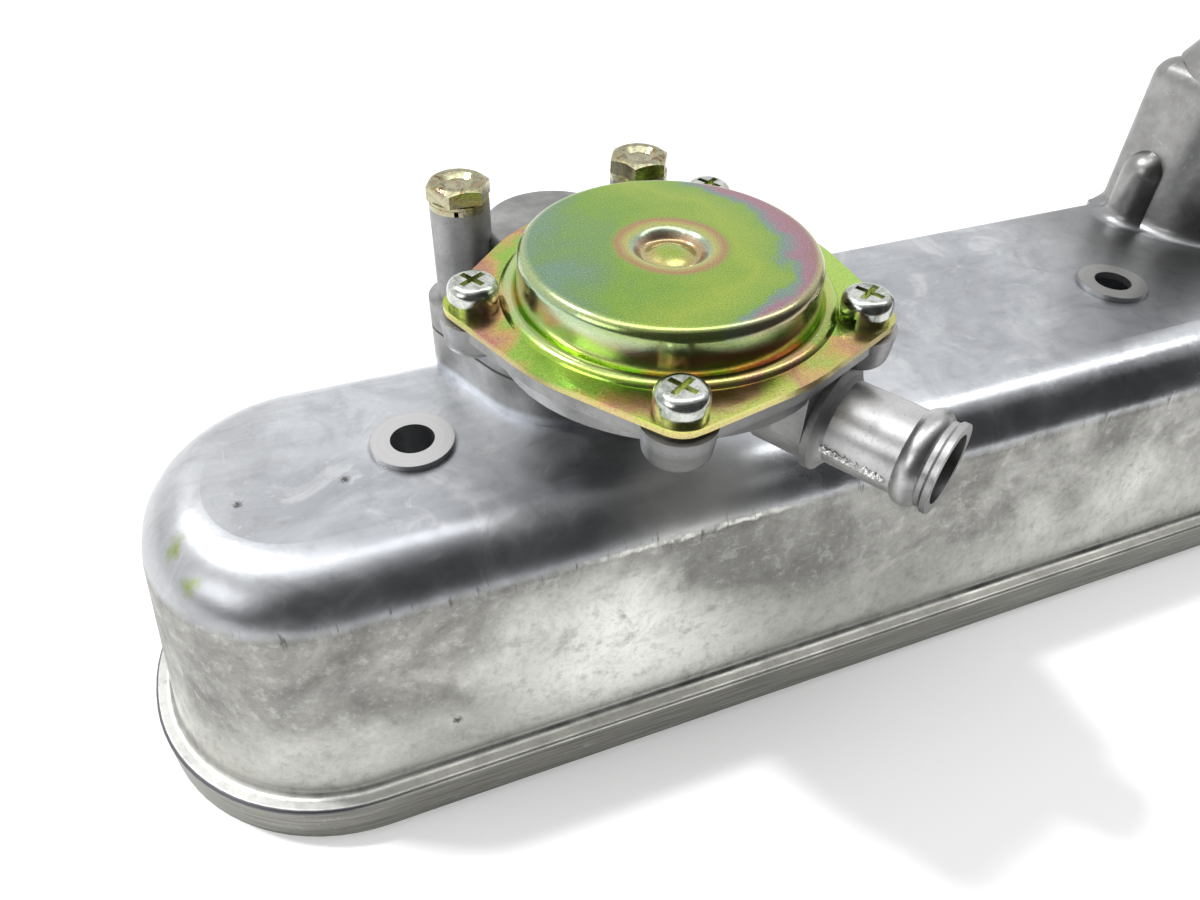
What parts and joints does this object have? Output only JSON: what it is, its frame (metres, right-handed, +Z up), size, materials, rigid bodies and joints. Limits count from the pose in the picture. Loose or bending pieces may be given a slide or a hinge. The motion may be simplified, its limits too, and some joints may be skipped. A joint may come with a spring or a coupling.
{
  "type": "engine valve cover",
  "caption": "Long cast valve cover with a bolted diaphragm breather on a raised pedestal, a side hose spigot and a filler tower with a quarter-turn cap.",
  "frame": {"origin": "midway between the two cover bolt holes, on the plane of their machined seats", "axes": "+X along the cover from the breather end to the filler end, +Y to the rear side, +Z up, out of the engine"},
  "size_m": [0.385, 0.1226, 0.1496],
  "materials": {
    "cover_casting": "polished and worn die casting",
    "breather_casting": "as-cast, fine shot-blasted",
    "nitrile_rubber": "matt black",
    "zinc_sheet": "clear zinc plated sheet",
    "clear_zinc": "bright clear zinc",
    "gasket_paper": "dark pressed fibre",
    "valve_steel": "plain steel",
    "spring_steel": "spring steel",
    "yellow_zinc": "yellow passivated zinc, iridescent",
    "gold_zinc": "gold passivated zinc",
    "black_plastic": "moulded, fine texture"
  },
  "bodies": {
    "cover": {"baffle_plate": "zinc_sheet", "baffle_screws": "clear_zinc", "bolt_lock_washer_1": "gold_zinc", "bolt_lock_washer_2": "gold_zinc", "breather_body": "breather_casting", "breather_bolt_1": "gold_zinc", "breather_bolt_2": "gold_zinc", "breather_cap": "yellow_zinc", "breather_gasket": "gasket_paper", "cap_lock_washer_1": "clear_zinc", "cap_lock_washer_2": "clear_zinc", "cap_lock_washer_3": "clear_zinc", "cap_lock_washer_4": "clear_zinc", "cap_screw_1": "clear_zinc", "cap_screw_2": "clear_zinc", "cap_screw_3": "clear_zinc", "cap_screw_4": "clear_zinc", "cover_gasket": "nitrile_rubber", "diaphragm": "nitrile_rubber", "diaphragm_spring": "spring_steel", "rocker_cover": "cover_casting"},
    "valve": {"valve_plate": "valve_steel"},
    "cap": {"filler_cap": "black_plastic", "filler_seal": "nitrile_rubber"}
  },
  "joints": [
    {"name": "valve_lift", "type": "slide", "parent": "cover", "child": "valve", "axis": [0, 0, 1], "range_m": [-0.0018, 0.0018], "stiffness_N_per_m": 600, "deforming": ["diaphragm", "diaphragm_spring"]},
    {"name": "filler_cap_turn", "type": "hinge", "parent": "cover", "child": "cap", "pos_m": [0.164, 0.0275, 0.0615], "axis": [0, 0, 1], "range_deg": [0, 90]}
  ]
}
